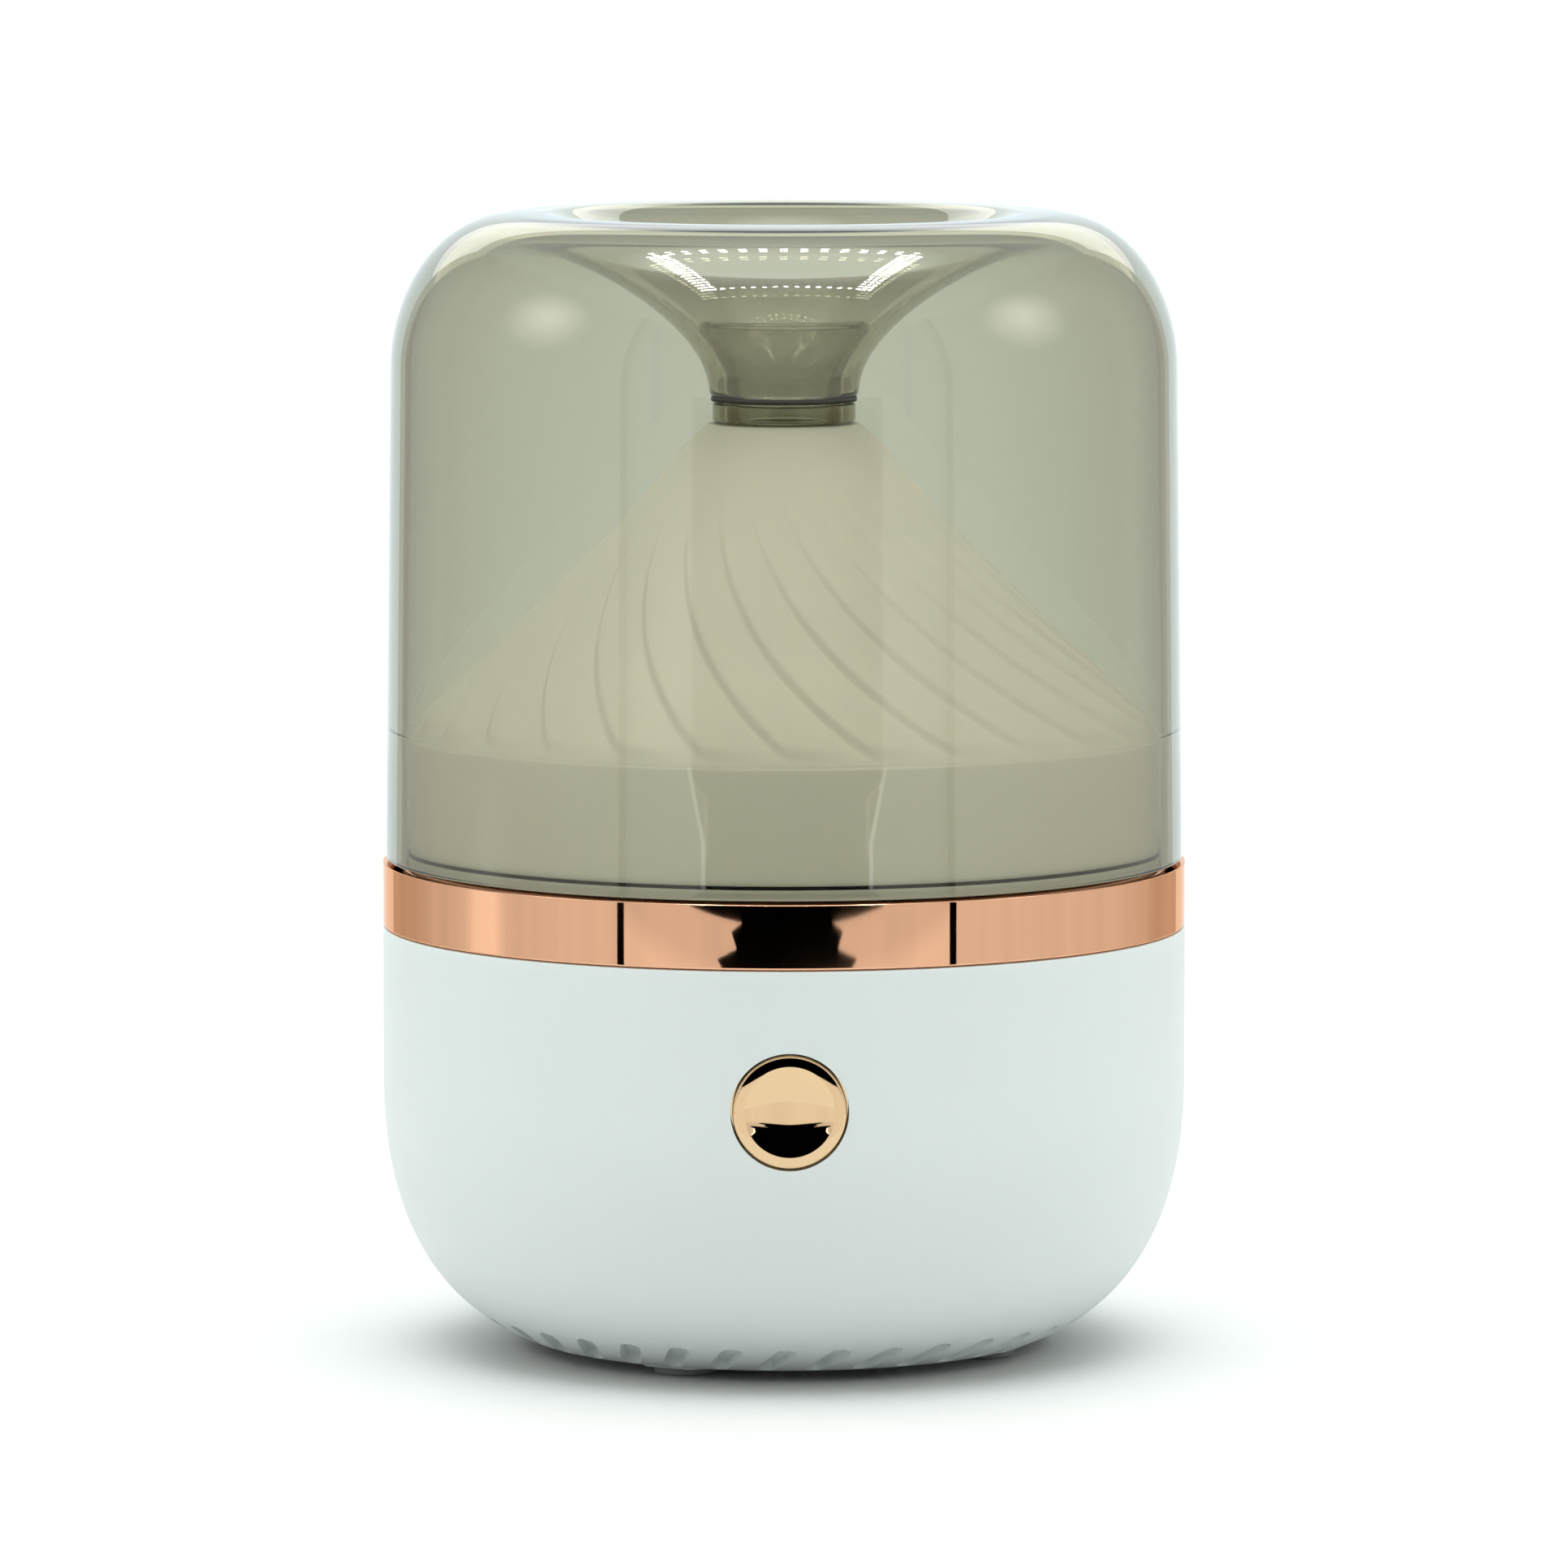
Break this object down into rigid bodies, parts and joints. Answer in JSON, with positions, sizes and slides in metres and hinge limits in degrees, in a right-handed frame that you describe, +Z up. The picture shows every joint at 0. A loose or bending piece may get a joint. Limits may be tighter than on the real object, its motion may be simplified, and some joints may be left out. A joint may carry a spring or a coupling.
{
  "type": "essential oil diffuser",
  "caption": "Round tabletop mist diffuser with a white grooved base, gold trim ring and front button, and a lift-off smoked cover over a translucent mountain-shaped light shade.",
  "frame": {"origin": "on the table, under the vertical axis of the round body", "axes": "+Z up along the body's axis, -Y towards the push button, +Y towards the power inlet, +X to the right seen from the front"},
  "size_m": [0.09, 0.09, 0.1271],
  "materials": {
    "white_shell": "smooth satin",
    "white_base": "fine matte",
    "tank_white": "semi-gloss",
    "rose_gold": "polished rose gold plating on plastic",
    "pale_gold": "polished pale gold plating on plastic",
    "smoke_clear": "clear smoke-tinted plastic, glossy",
    "smoke_clear_nozzle": "clear smoke-tinted plastic, glossy",
    "milk_white": "translucent milky plastic",
    "grey_rubber": "soft matte",
    "black_rubber": "soft matte",
    "steel": "plain",
    "brass": "plain",
    "copper_coil": "enamelled winding",
    "board_green": "solder mask",
    "black_plastic": "moulded",
    "led_white": "clear-faced lamp",
    "lead_red": "insulated wire",
    "lead_black": "insulated wire"
  },
  "bodies": {
    "base": {"body_shell": "white_shell", "base_plate": "white_base", "trim_ring": "rose_gold", "water_tank": "tank_white", "air_duct": "tank_white", "shade_seal": "black_rubber", "foot_1": "grey_rubber", "foot_2": "grey_rubber", "foot_3": "grey_rubber", "foot_4": "grey_rubber", "base_screw_1": "steel", "base_screw_2": "steel", "base_screw_3": "steel", "base_screw_4": "steel", "switch_housing": "black_plastic", "switch_board": "board_green", "inlet_sleeve": "steel", "inlet_tongue": "black_plastic", "main_board": "board_green", "driver_chip": "black_plastic", "inductor": "copper_coil", "capacitor": "black_plastic", "piezo_seal": "grey_rubber", "piezo_disc": "brass", "piezo_retainer": "tank_white", "retainer_screw_1": "steel", "retainer_screw_2": "steel", "retainer_screw_3": "steel", "led_board": "board_green", "led_1": "led_white", "led_2": "led_white", "led_3": "led_white", "led_4": "led_white", "led_5": "led_white", "led_6": "led_white", "fan_frame": "black_plastic", "fan_screw_1": "steel", "fan_screw_2": "steel", "lead_piezo": "lead_red", "lead_fan": "lead_black", "lead_switch": "lead_black"},
    "cover": {"smoked_cover": "smoke_clear", "mist_nozzle": "smoke_clear_nozzle", "nozzle_gasket": "black_rubber", "nozzle_collar": "smoke_clear_nozzle"},
    "shade": {"mountain_shade": "milk_white"},
    "button": {"button_cap": "pale_gold", "switch_plunger": "black_plastic"},
    "fan": {"fan_rotor": "black_plastic"}
  },
  "joints": [
    {"name": "cover_lift", "type": "slide", "parent": "base", "child": "cover", "axis": [0, 0, 1], "range_m": [0, 0.1]},
    {"name": "shade_lift", "type": "slide", "parent": "base", "child": "shade", "axis": [0, 0, 1], "range_m": [0, 0.025]},
    {"name": "button_press", "type": "slide", "parent": "base", "child": "button", "axis": [0, 1, 0], "range_m": [0, 0.0008], "stiffness_N_per_m": 1500},
    {"name": "fan_spin", "type": "hinge", "parent": "base", "child": "fan", "pos_m": [0, -0.005, 0.0085], "axis": [0, 0, 1], "continuous": true}
  ],
  "couplings": [
    {"joint": "shade_lift", "follows": "cover_lift", "ratio": 0.25}
  ]
}
